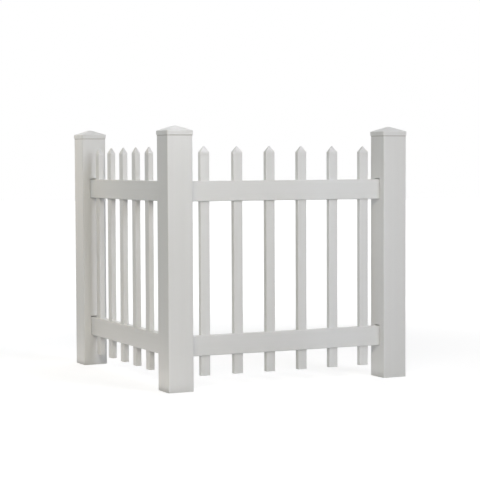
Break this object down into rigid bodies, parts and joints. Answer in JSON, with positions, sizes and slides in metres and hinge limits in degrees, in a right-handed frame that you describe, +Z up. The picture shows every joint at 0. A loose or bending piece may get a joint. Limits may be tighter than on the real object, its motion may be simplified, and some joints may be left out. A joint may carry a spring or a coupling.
{
  "type": "corner picket fence panel",
  "caption": "White vinyl picket fence corner: panels at a right angle between capped square posts, slim pointed pickets standing through upper and lower rails.",
  "frame": {"origin": "centre of the corner post's foot, at ground level", "axes": "+X from the corner post to the right post along the front panel, +Y from the corner post to the left post along the left panel, +Z up"},
  "size_m": [1.0218, 1.0218, 0.9855],
  "materials": {
    "extruded_vinyl": "white extruded PVC, satin",
    "moulded_vinyl": "white moulded PVC, satin"
  },
  "bodies": {
    "root": {"corner_post": "extruded_vinyl", "corner_post_cap": "moulded_vinyl", "right_post": "extruded_vinyl", "right_post_cap": "moulded_vinyl", "left_post": "extruded_vinyl", "left_post_cap": "moulded_vinyl", "front_top_rail": "extruded_vinyl", "front_bottom_rail": "extruded_vinyl", "front_picket_1": "extruded_vinyl", "front_picket_cap_1": "moulded_vinyl", "front_picket_2": "extruded_vinyl", "front_picket_cap_2": "moulded_vinyl", "front_picket_3": "extruded_vinyl", "front_picket_cap_3": "moulded_vinyl", "front_picket_4": "extruded_vinyl", "front_picket_cap_4": "moulded_vinyl", "front_picket_5": "extruded_vinyl", "front_picket_cap_5": "moulded_vinyl", "front_picket_6": "extruded_vinyl", "front_picket_cap_6": "moulded_vinyl", "left_top_rail": "extruded_vinyl", "left_bottom_rail": "extruded_vinyl", "left_picket_1": "extruded_vinyl", "left_picket_cap_1": "moulded_vinyl", "left_picket_2": "extruded_vinyl", "left_picket_cap_2": "moulded_vinyl", "left_picket_3": "extruded_vinyl", "left_picket_cap_3": "moulded_vinyl", "left_picket_4": "extruded_vinyl", "left_picket_cap_4": "moulded_vinyl", "left_picket_5": "extruded_vinyl", "left_picket_cap_5": "moulded_vinyl", "left_picket_6": "extruded_vinyl", "left_picket_cap_6": "moulded_vinyl"}
  },
  "joints": []
}
